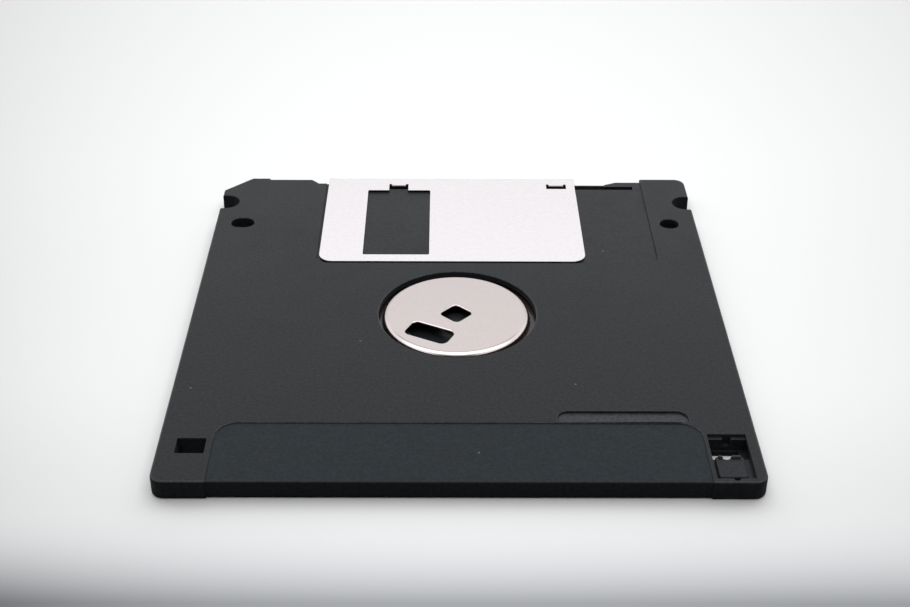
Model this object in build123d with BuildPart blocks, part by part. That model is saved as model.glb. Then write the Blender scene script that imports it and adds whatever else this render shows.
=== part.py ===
"""Flexible disk cartridge of the 90 mm size: a coated film disk on a steel hub, in a two-part case.

Millimetres. X runs across the case, Y towards the shutter end and Z up. The case lies on its
label side, with the hub side up. The origin is the centre of the footprint, on the table.
"""

import math
import os

from build123d import *

# Film disk and the room it has in the case
film_radius = 42.9
film_thickness = 0.08
film_rise = 0.01
film_hole_gap = 0.15
disk_float = 0.6
disk_rest_shift = 0.2

# Steel hub, a drawn cup with a flange under the film
hub_radius = 12.5
hub_flange_width = 3.0
hub_sheet = 0.3
hub_rim_radius = 0.8
hub_rim_slopes = 2
hub_sink = 0.2
spindle_hole = 4.1
spindle_hole_radius = 0.6
spindle_hole_turn = 47.0
drive_hole_length = 7.8
drive_hole_width = 4.2
drive_hole_radius = 0.9
drive_hole_inset = 5.12
drive_hole_angle = -127.57
drive_hole_turn = -27.0
hub_hole_bevel = 0.1
adhesive_thickness = 0.06
adhesive_margin = 0.2

# Walls of the case, in plan
side_wall = 1.5
near_wall = 1.7
guide_inner_wall = 1.3
guide_groove_width = 1.25
guide_outer_wall = 0.75
web_setback = 2.0
rim_wall = 1.2
pocket_wall = 1.0

# Case, through its height
cavity_height = 1.5
plate = 0.9
edge_radius = 0.4
corner_radius = 2.0
corner_cut = 5.0

# Access hole round the hub, and the head windows between it and the edge of the film
access_gap = 0.92
access_bevel = 0.15
access_ring_wall = 1.1
head_window_width = 9.0
head_window_wall = 5.28
head_window_edge = 0.4
head_window_radius = 0.5
head_window_lip = 0.8

# Locating holes, sensing holes and side notches
locating_notch_gap = 7.95
locating_inset = 5.0
locating_radius = 1.8
locating_slot_length = 4.4
locating_lead = 0.2
locating_boss_wall = 1.2
sensing_setback = 8.4
sensing_width = 4.4
sensing_length = 3.65
sensing_wall = 1.1
notch_setback = 9.85
notch_width = 5.1
notch_depth = 3.5
notch_wall = 1.2

# Shutter, one folded strip of sheet
shutter_sheet = 0.2
shutter_side_inset = 21.75
shutter_corner_radius = 2.5
shutter_fold_radius = 0.5
shutter_proud = 0.1
shutter_travel = 12.5
shutter_window_side = 7.85
shutter_window_cover = 0.5
shutter_window_setback = 0.4
shutter_window_margin = 2.35
shutter_window_radius = 0.3
tab_groove_gap = 0.7
tab_slit_overlap = 0.2
tab_bend_radius = 0.25
tab_ear_width = 0.45
tab_ear_length = 0.4
guide_tab_width = 3.66
guide_tab_shift = 0.13
guide_tab_drop = 2.15
spring_tab_width = 3.8
spring_tab_inset = 1.75
spring_tab_drop = 1.2

# Recess that the shutter slides in, and the steps of the far edge
recess_depth = 0.3
recess_margin = 0.45
recess_end_margin = 0.55
recess_corner_radius = 2.0
lever_ramp = 1.45
lever_ramp_gap = 1.45
lever_land = 3.5
lever_ledge_setback = 0.5
stop_ledge = 4.8
stop_ledge_setback = 1.0
stop_ramp = 2.3
groove_end_margin = 0.6
guide_wall_top = 0.3
guide_wall_drop = 0.15

# Recesses for the label and for a moulded mark
label_side_margin = 8.15
label_wrap = 14.2
label_shutter_gap = 5.5
label_depth = 0.2
label_corner_radius = 3.5
label_edge_radius = 0.3
mark_width = 20.15
mark_length = 2.75
mark_ridge = 0.3
mark_side_gap = 1.6
mark_depth = 0.45
mark_corner_radius = 1.8

# Write-protect window, its channel and the slider in it
slide_window_width = 5.85
slide_window_inset = 1.75
slide_window_length = 10.5
slide_near_rim = 0.9
slide_ledge = 0.8
slide_ledge_drop = 0.45
slide_notch_width = 1.3
slide_rim_notch_radius = 0.5
slide_lip = 0.4
slide_wall = 1.1
slider_travel = 4.0
slider_clearance = 0.1
slider_end_clearance = 0.1
slider_pad_width = 4.3
slider_pad_margin = 0.65
slider_pad_offset = 0.27
slider_pad_sink = 0.4
slider_pad_radius = 0.5
slider_edge = 0.12
slider_ridge_width = 0.5
slider_ridge_sink = 0.15
slider_notch_radius = 0.75
slider_notch_offset = 0.45

# Weld pins of the label side shell and their posts, outside the disk pocket
post_width = 2.8
pin_width = 1.2
pin_height = 0.45
pin_clearance = 0.05
near_post_side_inset = 14.5
near_post_inset = 3.1
side_post_inset = 3.9
side_post_drop = 5.9
far_post_left_inset = 7.4
far_post_left_setback = 5.1
far_post_right_inset = 3.6
far_post_right_setback = 3.8

# Hollow corners outside the disk pocket, from where they are this wide
corner_least = 2.2

# Inner rings of the label side shell, under the hub
seat_ring_inset = 2.0
seat_ring_wall = 1.0
seat_ring_gap = 0.5
spindle_boss_radius = 2.6
spindle_boss_height = 0.6

# Liners, and the leaf that lifts one of them to the film
liner_thickness = 0.25
liner_edge_gap = 0.6
liner_window_gap = 0.3
liner_hub_gap = 0.4
label_liner_hole_gap = 1.5
lifter_sheet = 0.15
lifter_start_gap = 3.1
lifter_end_gap = 3.3
lifter_bond_width = 4.0
lifter_flap_width = 5.3
lifter_centre_y = -4.0
lifter_film_gap = 0.1
lifter_liner_land = 0.2
lifter_liner_ramp = 2.4

# Shutter spring, a torsion spring of round wire
wire_radius = 0.18
wire_sides = 8
coil_radius = 1.5
coil_extra_turns = 1
coil_runs = 16
coil_pitch = 0.42
spring_drop = 5.5
spring_hook = 1.0
spring_tab_gap = 0.25
spring_anchor_gap = 0.25
spring_floor_gap = 0.15
spring_leaf_gap = 0.25

# Width of the band in which a selected edge may lie
pick_band = 0.01

# Plan, worked out from the disk outwards
access_radius = hub_radius + access_gap
hub_flange_radius = hub_radius + hub_flange_width
film_hole_radius = hub_radius + film_hole_gap
seat_ring_radius = hub_radius - seat_ring_inset
pocket_radius = film_radius + disk_float
half_width = pocket_radius + side_wall
guide_depth = guide_inner_wall + guide_groove_width + guide_outer_wall
case_depth = near_wall + 2 * pocket_radius + guide_depth + web_setback
half_depth = case_depth / 2
hub_y = near_wall + pocket_radius - half_depth
hub_x = -disk_rest_shift
groove_near_y = hub_y + pocket_radius + guide_inner_wall
groove_far_y = groove_near_y + guide_groove_width
guide_face_y = groove_far_y + guide_outer_wall
locating_x = half_width - locating_inset
notch_y = half_depth - notch_setback
locating_y = notch_y - locating_notch_gap
sensing_y = sensing_setback - half_depth
head_window_near_y = hub_y + access_radius + head_window_wall
head_window_far_y = hub_y + film_radius - head_window_edge

# Heights
case_height = cavity_height + 2 * plate
split_z = case_height / 2
floor_z = plate
ceiling_z = case_height - plate
cavity_half = ceiling_z - split_z
recess_floor_z = case_height - recess_depth
hub_top_z = case_height - hub_sink
film_z = split_z + film_rise
flange_top_z = film_z - adhesive_thickness
flange_z = flange_top_z - hub_sheet
leaf_top_z = case_height + shutter_proud
leaf_z = leaf_top_z - shutter_sheet

# Shutter and its recess, in plan
tab_y = groove_near_y + tab_groove_gap
bend_y = tab_y + tab_bend_radius
shutter_window_near_y = head_window_near_y + shutter_window_setback
shutter_window_far_y = bend_y - guide_tab_drop
shutter_window_left = -head_window_width / 2 - shutter_travel
shutter_window_right = -head_window_width / 2 - shutter_window_cover
shutter_left = shutter_window_left - shutter_window_side
shutter_right = half_width - shutter_side_inset
shutter_width = shutter_right - shutter_left
shutter_near_y = shutter_window_near_y - shutter_window_margin
guide_tab_left = (shutter_window_left + shutter_window_right - guide_tab_width) / 2 - guide_tab_shift
guide_tab_right = guide_tab_left + guide_tab_width
spring_tab_right = shutter_right - spring_tab_inset
spring_tab_left = spring_tab_right - spring_tab_width
recess_left = shutter_left - recess_margin
recess_right = shutter_right + shutter_travel + recess_end_margin
recess_near_y = shutter_near_y - recess_margin

# Label recesses and the mark's pocket, in plan
label_width = 2 * (half_width - label_side_margin)
label_length = recess_near_y - label_shutter_gap + half_depth
mark_near_y = label_wrap + mark_ridge - half_depth
mark_x = label_width / 2 - mark_side_gap - mark_width / 2

# Write-protect slider and its channel, in plan
window_right = half_width - slide_window_inset
window_left = window_right - slide_window_width
window_x = (window_left + window_right) / 2
window_near_y = slide_near_rim - half_depth
window_end_y = window_near_y + slide_window_length
channel_end_y = window_end_y - slide_ledge
channel_width = slide_window_width + 2 * slide_lip
slider_length = channel_end_y - window_near_y - slider_travel - 2 * slider_end_clearance
slider_near_y = window_near_y + slider_end_clearance
slider_far_y = slider_near_y + slider_length


def notch_slots(width):
    """Cut the two side notches, round at their inner ends, from the sketch in hand."""
    reach = 2 * notch_width
    for side in (-1, 1):
        with Locations((side * (half_width - notch_depth + (notch_width + reach) / 2), notch_y)):
            SlotCenterToCenter(reach, width, mode=Mode.SUBTRACT)


def locating_holes(radius, mode=Mode.ADD):
    """Round hole on the right and slot on the left, both of one width."""
    with Locations((locating_x, locating_y)):
        Circle(radius, mode=mode)
    with Locations((-locating_x, locating_y)):
        length = locating_slot_length + 2 * (radius - locating_radius)
        SlotOverall(length, 2 * radius, mode=mode)


def posts(width, mode=Mode.ADD):
    """The square posts, or the pins on them, that weld the shells together in the corners."""
    with Locations(*post_places):
        Rectangle(width, width, mode=mode)


def case_plan(height):
    """Outline of both shells, with the cut corner, side notches and stepped far edge."""
    lever_right = recess_left - lever_ramp_gap
    lever_left = lever_right - lever_ramp
    corner_right = corner_cut - half_width
    ledge_left = corner_right + lever_land
    lever_ledge_y = half_depth - lever_ledge_setback
    stop_ledge_y = half_depth - stop_ledge_setback
    with BuildSketch(Plane.XY.offset(height)) as plan:
        with BuildLine():
            Polyline(
                (-half_width, -half_depth),
                (half_width, -half_depth),
                (half_width, half_depth),
                (recess_right, half_depth),
                (recess_right, stop_ledge_y),
                (stop_left, stop_ledge_y),
                (stop_left - stop_ramp, guide_face_y),
                (lever_right, guide_face_y),
                (lever_left, lever_ledge_y),
                (ledge_left, lever_ledge_y),
                (ledge_left, half_depth),
                (corner_right, half_depth),
                (-half_width, half_depth - corner_cut),
                close=True,
            )
        make_face()
        near_corners = plan.vertices().group_by(Axis.Y)[0]
        far_corner = plan.vertices().group_by(Axis.Y)[-1].sort_by(Axis.X)[-1:]
        fillet(near_corners + far_corner, corner_radius)
        notch_slots(notch_width)
    return plan.sketch


def outer_edges(edges):
    """Those edges of an outer face that are rounded: all but the mouths of the side notches."""
    return edges.filter_by(lambda edge: abs(edge.center().Y - notch_y) > notch_width / 2)


def shutter_recess_plan(height):
    """Recess that the shutter slides in, open at the far edge."""
    length = half_depth + web_setback - recess_near_y
    with BuildSketch(Plane.XY.offset(height)) as plan:
        with Locations(((recess_left + recess_right) / 2, recess_near_y + length / 2)):
            Rectangle(recess_right - recess_left, length)
        fillet(plan.vertices().group_by(Axis.Y)[0], recess_corner_radius)
    return plan.sketch


def label_recess_plan(height, length):
    """Recess for the label on one side, open at the near edge."""
    overshoot = corner_radius
    with BuildSketch(Plane.XY.offset(height)) as plan:
        with Locations((0, (length - overshoot) / 2 - half_depth)):
            Rectangle(label_width, length + overshoot)
        fillet(plan.vertices().group_by(Axis.Y)[-1], label_corner_radius)
    return plan.sketch


def label_wrap_plan(height):
    """The strip of the near face that the label wraps round."""
    with BuildSketch(Plane.XY.offset(height)) as plan:
        with Locations((0, -half_depth)):
            Rectangle(label_width, 2 * label_depth)
    return plan.sketch


def head_window_plan(height, margin=0.0):
    """Window for the heads, grown by a margin all round."""
    length = head_window_far_y - head_window_near_y + 2 * margin
    with BuildSketch(Plane.XY.offset(height)) as plan:
        with Locations((0, (head_window_near_y + head_window_far_y) / 2)):
            Rectangle(head_window_width + 2 * margin, length)
        if margin == 0:
            fillet(plan.vertices(), head_window_radius)
    return plan.sketch


def disk_pocket_plan(height):
    """Round pocket that the film turns in."""
    with BuildSketch(Plane.XY.offset(height)) as plan:
        with Locations((0, hub_y)):
            Circle(pocket_radius)
    return plan.sketch


def corner_plan(height):
    """Hollow corners of the case, outside the wall of the disk pocket, with what stands in them."""
    inner_width = 2 * (half_width - rim_wall)
    inner_near_y = rim_wall - half_depth
    cut_side = 2 * (corner_cut * math.sqrt(0.5) + rim_wall)
    outer_radius = pocket_radius + pocket_wall
    side_start = half_width - rim_wall - corner_least
    end_start = hub_y - inner_near_y - corner_least
    side_land = 2 * math.sqrt(outer_radius**2 - side_start**2)
    end_land = 2 * math.sqrt(outer_radius**2 - end_start**2)
    with BuildSketch(Plane.XY.offset(height)) as plan:
        with Locations((0, (inner_near_y + groove_far_y) / 2)):
            Rectangle(inner_width, groove_far_y - inner_near_y)
        with Locations((0, hub_y)):
            Circle(outer_radius, mode=Mode.SUBTRACT)
            Rectangle(2 * half_width, side_land, mode=Mode.SUBTRACT)
            Rectangle(end_land, 3 * pocket_radius, mode=Mode.SUBTRACT)
        with Locations((-half_width, half_depth)):
            Rectangle(cut_side, cut_side, rotation=45, mode=Mode.SUBTRACT)
        notch_slots(notch_width + 2 * notch_wall)
        locating_holes(locating_radius + locating_boss_wall, Mode.SUBTRACT)
        posts(post_width, Mode.SUBTRACT)
        with Locations((-locating_x, sensing_y)):
            block_width = sensing_width + 2 * sensing_wall
            Rectangle(block_width, sensing_length + 2 * sensing_wall, mode=Mode.SUBTRACT)
        block_left = window_x - channel_width / 2 - slide_wall
        block_far_y = channel_end_y + slide_wall
        with Locations(((block_left + half_width) / 2, (block_far_y - half_depth) / 2)):
            Rectangle(half_width - block_left, block_far_y + half_depth, mode=Mode.SUBTRACT)
    return plan.sketch


def slide_channel_plan(height):
    """Channel that the base of the write-protect slider runs in."""
    with BuildSketch(Plane.XY.offset(height)) as plan:
        with Locations((window_x, (window_near_y + channel_end_y) / 2)):
            Rectangle(channel_width, channel_end_y - window_near_y)
    return plan.sketch


def guide_groove_plan(height, left, right):
    """One stretch of the groove that a tab of the shutter runs in."""
    with BuildSketch(Plane.XY.offset(height)) as plan:
        with Locations(((left + right) / 2, (groove_near_y + groove_far_y) / 2)):
            Rectangle(right - left, guide_groove_width)
    return plan.sketch


def sensing_hole_plan(height):
    """Hole that shows the kind of disk to the drive, near the left side."""
    with BuildSketch(Plane.XY.offset(height)) as plan:
        with Locations((-locating_x, sensing_y)):
            Rectangle(sensing_width, sensing_length)
    return plan.sketch


def guide_wall_taper(left, right):
    """Slope on the inside of the wall in front of the groove, as a solid to cut."""
    top_y = guide_face_y - guide_wall_top
    top_z = recess_floor_z - guide_wall_drop
    with BuildPart(mode=Mode.PRIVATE) as taper:
        with BuildSketch(Plane.YZ.offset(left)):
            with BuildLine():
                Polyline(
                    (groove_far_y, split_z),
                    (top_y, top_z),
                    (guide_face_y, top_z),
                    (guide_face_y, case_height),
                    (groove_far_y, case_height),
                    close=True,
                )
            make_face()
        extrude(amount=right - left)
    return taper.part


guide_groove = (guide_tab_left - groove_end_margin, guide_tab_right + shutter_travel + groove_end_margin)
spring_groove = (spring_tab_left - groove_end_margin, spring_tab_right + shutter_travel + groove_end_margin)
stop_left = recess_right - stop_ledge

post_places = (
    (near_post_side_inset - half_width, near_post_inset - half_depth),
    (half_width - near_post_side_inset, near_post_inset - half_depth),
    (side_post_inset - half_width, locating_y - side_post_drop),
    (half_width - side_post_inset, locating_y - side_post_drop),
    (far_post_left_inset - half_width, half_depth - far_post_left_setback),
    (half_width - far_post_right_inset, half_depth - far_post_right_setback),
)

parts = []


# Shell on the hub side, with the hub's access hole, the locating holes and the slider's window
with BuildPart() as hub_side_shell:
    extrude(case_plan(split_z), amount=case_height - split_z)
    fillet(outer_edges(hub_side_shell.edges().group_by(Axis.Z)[-1]), edge_radius)

    # Recesses of the outer face
    extrude(shutter_recess_plan(recess_floor_z), amount=2 * recess_depth, mode=Mode.SUBTRACT)
    label_z = case_height - label_depth
    extrude(label_recess_plan(label_z, label_wrap), amount=2 * label_depth, mode=Mode.SUBTRACT)
    extrude(label_wrap_plan(split_z), amount=case_height, mode=Mode.SUBTRACT)
    label_edge = hub_side_shell.edges().filter_by(Axis.X)
    label_edge = label_edge.filter_by_position(Axis.Z, label_z - pick_band, label_z + pick_band)
    fillet(label_edge.sort_by(Axis.Y)[0], label_edge_radius)
    with BuildSketch(Plane.XY.offset(case_height - mark_depth)) as mark_plan:
        with Locations((mark_x, mark_near_y + mark_length / 2)):
            Rectangle(mark_width, mark_length)
        fillet(mark_plan.vertices().group_by(Axis.Y)[-1], mark_corner_radius)
    extrude(amount=2 * mark_depth, mode=Mode.SUBTRACT)

    # Hollow inside, from the parting plane up
    extrude(disk_pocket_plan(split_z), amount=cavity_half, mode=Mode.SUBTRACT)
    extrude(corner_plan(split_z), amount=cavity_half, mode=Mode.SUBTRACT)
    extrude(slide_channel_plan(split_z), amount=cavity_half, mode=Mode.SUBTRACT)
    with BuildSketch(Plane.XY.offset(split_z)):
        posts(pin_width + 2 * pin_clearance)
    extrude(amount=pin_height + pin_clearance, mode=Mode.SUBTRACT)

    # Lips that the liner stops at
    with BuildSketch(Plane.XY.offset(ceiling_z)):
        with Locations((0, hub_y)):
            Circle(access_radius + access_ring_wall)
    extrude(amount=-liner_thickness)
    extrude(head_window_plan(ceiling_z, head_window_lip), amount=-liner_thickness)

    # Holes and windows
    with BuildSketch(Plane.XY.offset(split_z)):
        with Locations((0, hub_y)):
            Circle(access_radius)
    extrude(amount=case_height, mode=Mode.SUBTRACT)
    extrude(head_window_plan(split_z), amount=case_height, mode=Mode.SUBTRACT)
    extrude(sensing_hole_plan(split_z), amount=case_height, mode=Mode.SUBTRACT)
    with BuildSketch(Plane.XY.offset(split_z)):
        locating_holes(locating_radius)
    extrude(amount=case_height, mode=Mode.SUBTRACT)
    with BuildSketch(Plane.XY.offset(case_height)):
        locating_holes(locating_radius + locating_lead)
    extrude(amount=-locating_lead, taper=45, mode=Mode.SUBTRACT)
    rim = hub_side_shell.edges().filter_by(GeomType.CIRCLE).group_by(Axis.Z)[-1]
    chamfer(rim.sort_by(SortBy.LENGTH)[-1], access_bevel)

    # Groove for the tabs, with the wall in front of it thinned towards its top
    for left, right in (guide_groove, spring_groove):
        extrude(guide_groove_plan(split_z, left, right), amount=case_height, mode=Mode.SUBTRACT)
        add(guide_wall_taper(left, min(right, stop_left - stop_ramp)), mode=Mode.SUBTRACT)

    # Window of the slider: open to the ledge at the far end, which has a notch, as has the near rim
    with BuildSketch(Plane.XY.offset(split_z)):
        with Locations((window_x, (window_near_y + channel_end_y) / 2)):
            Rectangle(slide_window_width, channel_end_y - window_near_y)
        with Locations((window_x, channel_end_y)):
            Rectangle(slide_notch_width, 2 * slide_ledge)
        with Locations((window_x, window_near_y)):
            Circle(slide_rim_notch_radius)
    extrude(amount=case_height, mode=Mode.SUBTRACT)
    with BuildSketch(Plane.XY.offset(case_height - slide_ledge_drop)):
        with Locations((window_x, (window_near_y + window_end_y) / 2)):
            Rectangle(slide_window_width, slide_window_length)
    extrude(amount=case_height, mode=Mode.SUBTRACT)
hub_side_shell.part.label = "hub_side_shell"
parts.append(hub_side_shell.part)


# Shell on the label side, with the weld pins and the rings under the hub
with BuildPart() as label_side_shell:
    extrude(case_plan(0), amount=split_z)
    fillet(outer_edges(label_side_shell.edges().group_by(Axis.Z)[0]), edge_radius)

    # Recesses of the outer face
    extrude(shutter_recess_plan(recess_depth), amount=-2 * recess_depth, mode=Mode.SUBTRACT)
    extrude(label_recess_plan(label_depth, label_length), amount=-2 * label_depth, mode=Mode.SUBTRACT)
    extrude(label_wrap_plan(0), amount=split_z, mode=Mode.SUBTRACT)
    label_edge = label_side_shell.edges().filter_by(Axis.X)
    label_edge = label_edge.filter_by_position(Axis.Z, label_depth - pick_band, label_depth + pick_band)
    fillet(label_edge.sort_by(Axis.Y)[0], label_edge_radius)

    # Hollow inside, from the parting plane down
    extrude(disk_pocket_plan(split_z), amount=-cavity_half, mode=Mode.SUBTRACT)
    extrude(corner_plan(split_z), amount=-cavity_half, mode=Mode.SUBTRACT)
    extrude(slide_channel_plan(split_z), amount=-cavity_half, mode=Mode.SUBTRACT)
    for left, right in (guide_groove, spring_groove):
        extrude(guide_groove_plan(split_z, left, right), amount=-cavity_half, mode=Mode.SUBTRACT)
    with BuildSketch(Plane.XY.offset(split_z)):
        locating_holes(locating_radius)
    extrude(amount=-cavity_half, mode=Mode.SUBTRACT)

    # Lip round the head window, seat ring and boss under the hub, and weld pins
    extrude(head_window_plan(floor_z, head_window_lip), amount=liner_thickness)
    with BuildSketch(Plane.XY.offset(floor_z)):
        with Locations((0, hub_y)):
            Circle(seat_ring_radius)
            Circle(seat_ring_radius - seat_ring_wall, mode=Mode.SUBTRACT)
    extrude(amount=hub_top_z - hub_sheet - seat_ring_gap - floor_z)
    with BuildSketch(Plane.XY.offset(floor_z)):
        with Locations((0, hub_y)):
            Circle(spindle_boss_radius)
    extrude(amount=spindle_boss_height)
    with BuildSketch(Plane.XY.offset(split_z)):
        posts(pin_width)
    extrude(amount=pin_height)

    # Holes and windows
    extrude(head_window_plan(0), amount=split_z, mode=Mode.SUBTRACT)
    extrude(sensing_hole_plan(0), amount=split_z, mode=Mode.SUBTRACT)
    with BuildSketch(Plane.XY):
        with Locations((locating_x, sensing_y)):
            Rectangle(sensing_width, sensing_length)
    extrude(amount=split_z, mode=Mode.SUBTRACT)
label_side_shell.part.label = "label_side_shell"
parts.append(label_side_shell.part)


# Hub, drawn from sheet: face, rolled rim, wall and the flange that carries the film
hub_plane = Plane(origin=(hub_x, hub_y, 0), x_dir=(1, 0, 0), z_dir=(0, -1, 0))
hub_axis = Axis((hub_x, hub_y, 0), (0, 0, 1))
rim_points = []
for step in range(hub_rim_slopes + 1):
    rim_angle = math.pi / 2 * (1 - step / hub_rim_slopes)
    rim_points.append(
        (
            hub_radius - hub_rim_radius * (1 - math.cos(rim_angle)),
            hub_top_z - hub_rim_radius * (1 - math.sin(rim_angle)),
        )
    )
with BuildPart() as hub:
    with BuildSketch(hub_plane):
        with BuildLine():
            Polyline(
                (0, hub_top_z),
                *rim_points,
                (hub_radius, flange_top_z),
                (hub_flange_radius, flange_top_z),
                (hub_flange_radius, flange_z),
                (hub_radius - hub_sheet, flange_z),
                (hub_radius - hub_sheet, hub_top_z - hub_sheet),
                (0, hub_top_z - hub_sheet),
                close=True,
            )
        make_face()
    revolve(axis=hub_axis)
    with BuildSketch(Plane.XY.offset(hub_top_z)):
        with Locations((hub_x, hub_y)):
            RectangleRounded(spindle_hole, spindle_hole, spindle_hole_radius, rotation=spindle_hole_turn)
        drive_direction = math.radians(drive_hole_angle)
        drive_x = hub_x + (hub_radius - drive_hole_inset) * math.cos(drive_direction)
        drive_y = hub_y + (hub_radius - drive_hole_inset) * math.sin(drive_direction)
        with Locations((drive_x, drive_y)):
            RectangleRounded(
                drive_hole_length,
                drive_hole_width,
                drive_hole_radius,
                rotation=drive_hole_turn,
            )
    extrude(amount=-2 * hub_sheet, mode=Mode.SUBTRACT)
    top_edges = hub.edges().group_by(Axis.Z)[-1].sort_by(SortBy.LENGTH)
    chamfer(top_edges[:-1], hub_hole_bevel)
hub.part.label = "hub"
parts.append(hub.part)


# Ring of adhesive between the hub's flange and the film
with BuildPart() as hub_adhesive_ring:
    with BuildSketch(Plane.XY.offset(flange_top_z)):
        with Locations((hub_x, hub_y)):
            Circle(hub_flange_radius - adhesive_margin)
            Circle(film_hole_radius + adhesive_margin, mode=Mode.SUBTRACT)
    extrude(amount=adhesive_thickness)
hub_adhesive_ring.part.label = "hub_adhesive_ring"
parts.append(hub_adhesive_ring.part)


# Coated film disk
with BuildPart() as magnetic_disk:
    with BuildSketch(Plane.XY.offset(film_z)):
        with Locations((hub_x, hub_y)):
            Circle(film_radius)
            Circle(film_hole_radius, mode=Mode.SUBTRACT)
    extrude(amount=film_thickness)
magnetic_disk.part.label = "magnetic_disk"
parts.append(magnetic_disk.part)


def liner_plan(height, hole_radius):
    """Fabric ring that wipes the film, open where the heads reach in."""
    slot_width = head_window_width + 2 * (head_window_lip + liner_window_gap)
    slot_start = head_window_near_y - head_window_lip - liner_window_gap
    with BuildSketch(Plane.XY.offset(height)) as plan:
        with Locations((0, hub_y)):
            Circle(pocket_radius - liner_edge_gap)
            Circle(hole_radius, mode=Mode.SUBTRACT)
        with Locations((0, slot_start + pocket_radius)):
            Rectangle(slot_width, 2 * pocket_radius, mode=Mode.SUBTRACT)
    return plan.sketch


# Liners, one on each side of the film
with BuildPart() as hub_side_liner:
    hub_liner_hole = access_radius + access_ring_wall + liner_hub_gap
    extrude(liner_plan(ceiling_z, hub_liner_hole), amount=-liner_thickness)
hub_side_liner.part.label = "hub_side_liner"
parts.append(hub_side_liner.part)

lifter_lift = film_z - lifter_film_gap - liner_thickness - lifter_sheet - floor_z
lifter_width = lifter_bond_width + lifter_flap_width
lifter_length = film_radius - lifter_end_gap - hub_flange_radius - lifter_start_gap
lifter_x = -hub_flange_radius - lifter_start_gap - lifter_length / 2
with BuildPart() as label_side_liner:
    extrude(liner_plan(floor_z, hub_flange_radius + label_liner_hole_gap), amount=liner_thickness)
    # The leaf below lifts the fabric into a low raised panel
    for base_z, mode in ((floor_z + liner_thickness, Mode.ADD), (floor_z, Mode.SUBTRACT)):
        top_z = base_z + lifter_sheet + lifter_lift
        foot_extra = 2 * (lifter_liner_land + lifter_liner_ramp)
        for panel_z, wider in ((base_z, foot_extra), (top_z, 2 * lifter_liner_land)):
            with BuildSketch(Plane.XY.offset(panel_z)):
                with Locations((lifter_x, lifter_centre_y)):
                    Rectangle(lifter_length + wider, lifter_width + wider)
        loft(ruled=True, mode=mode)
label_side_liner.part.label = "label_side_liner"
parts.append(label_side_liner.part)


# Leaf under the label side liner, bonded along one strip and bent up along the other
with BuildPart() as liner_lifter:
    with BuildSketch(Plane.YZ.offset(lifter_x - lifter_length / 2)):
        with BuildLine():
            bond_y = lifter_centre_y - lifter_width / 2
            fold_y = bond_y + lifter_bond_width
            flap_y = bond_y + lifter_width
            Polyline(
                (bond_y, floor_z),
                (fold_y, floor_z),
                (flap_y, floor_z + lifter_lift),
                (flap_y, floor_z + lifter_lift + lifter_sheet),
                (fold_y, floor_z + lifter_sheet),
                (bond_y, floor_z + lifter_sheet),
                close=True,
            )
        make_face()
    extrude(amount=lifter_length)
liner_lifter.part.label = "liner_lifter"
parts.append(liner_lifter.part)


# Shutter: one strip of sheet folded over the far edge, with a window and two tabs
with BuildPart() as shutter:
    with BuildSketch(Plane.YZ.offset(shutter_left)) as fold_section:
        with BuildLine():
            Polyline(
                (shutter_near_y, 0),
                (half_depth, 0),
                (half_depth, leaf_top_z),
                (shutter_near_y, leaf_top_z),
                (shutter_near_y, leaf_z),
                (half_depth - shutter_sheet, leaf_z),
                (half_depth - shutter_sheet, shutter_sheet),
                (shutter_near_y, shutter_sheet),
                close=True,
            )
        make_face()
        outer_folds = fold_section.vertices().group_by(Axis.X)[-1]
        inner_folds = fold_section.vertices().group_by(Axis.X)[-2]
        fillet(outer_folds, shutter_fold_radius)
        fillet(inner_folds, shutter_fold_radius - shutter_sheet)
    extrude(amount=shutter_width)
    fillet(shutter.edges().filter_by(Axis.Z).group_by(Axis.Y)[0], shutter_corner_radius)
    with BuildSketch(Plane.XY):
        middle_x = (shutter_window_left + shutter_window_right) / 2
        middle_y = (shutter_window_near_y + shutter_window_far_y) / 2
        with Locations((middle_x, middle_y)):
            RectangleRounded(
                shutter_window_right - shutter_window_left,
                shutter_window_far_y - shutter_window_near_y,
                shutter_window_radius,
            )
    extrude(amount=leaf_top_z, mode=Mode.SUBTRACT)
    # Tabs: a slit with two relief ears at its far corners, and the strip that is bent down from it
    for left, width, drop in (
        (guide_tab_left, guide_tab_width, guide_tab_drop),
        (spring_tab_left, spring_tab_width, spring_tab_drop),
    ):
        with BuildSketch(Plane.XY.offset(leaf_z)):
            with Locations((left + width / 2, bend_y - (drop + tab_slit_overlap) / 2)):
                Rectangle(width, drop + tab_slit_overlap)
            for ear_x in (left + tab_ear_width / 2, left + width - tab_ear_width / 2):
                with Locations((ear_x, bend_y)):
                    Rectangle(tab_ear_width, 2 * tab_ear_length)
        extrude(amount=shutter_sheet, mode=Mode.SUBTRACT)
        with BuildSketch(Plane.YZ.offset(left + tab_ear_width)) as tab_section:
            with BuildLine():
                tab_end_z = leaf_top_z - drop
                tab_root_y = bend_y + tab_ear_length
                Polyline(
                    (tab_root_y, leaf_top_z),
                    (tab_y, leaf_top_z),
                    (tab_y, tab_end_z),
                    (tab_y + shutter_sheet, tab_end_z),
                    (tab_y + shutter_sheet, leaf_z),
                    (tab_root_y, leaf_z),
                    close=True,
                )
            make_face()
            outer_bend = tab_section.vertices().sort_by_distance((tab_y, leaf_top_z))[0]
            fillet(outer_bend, tab_bend_radius)
            inner_bend = tab_section.vertices().sort_by_distance((tab_y + shutter_sheet, leaf_z))[0]
            fillet(inner_bend, tab_bend_radius - shutter_sheet)
        extrude(amount=width - 2 * tab_ear_width)
shutter.part.label = "shutter"
parts.append(shutter.part)


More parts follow.
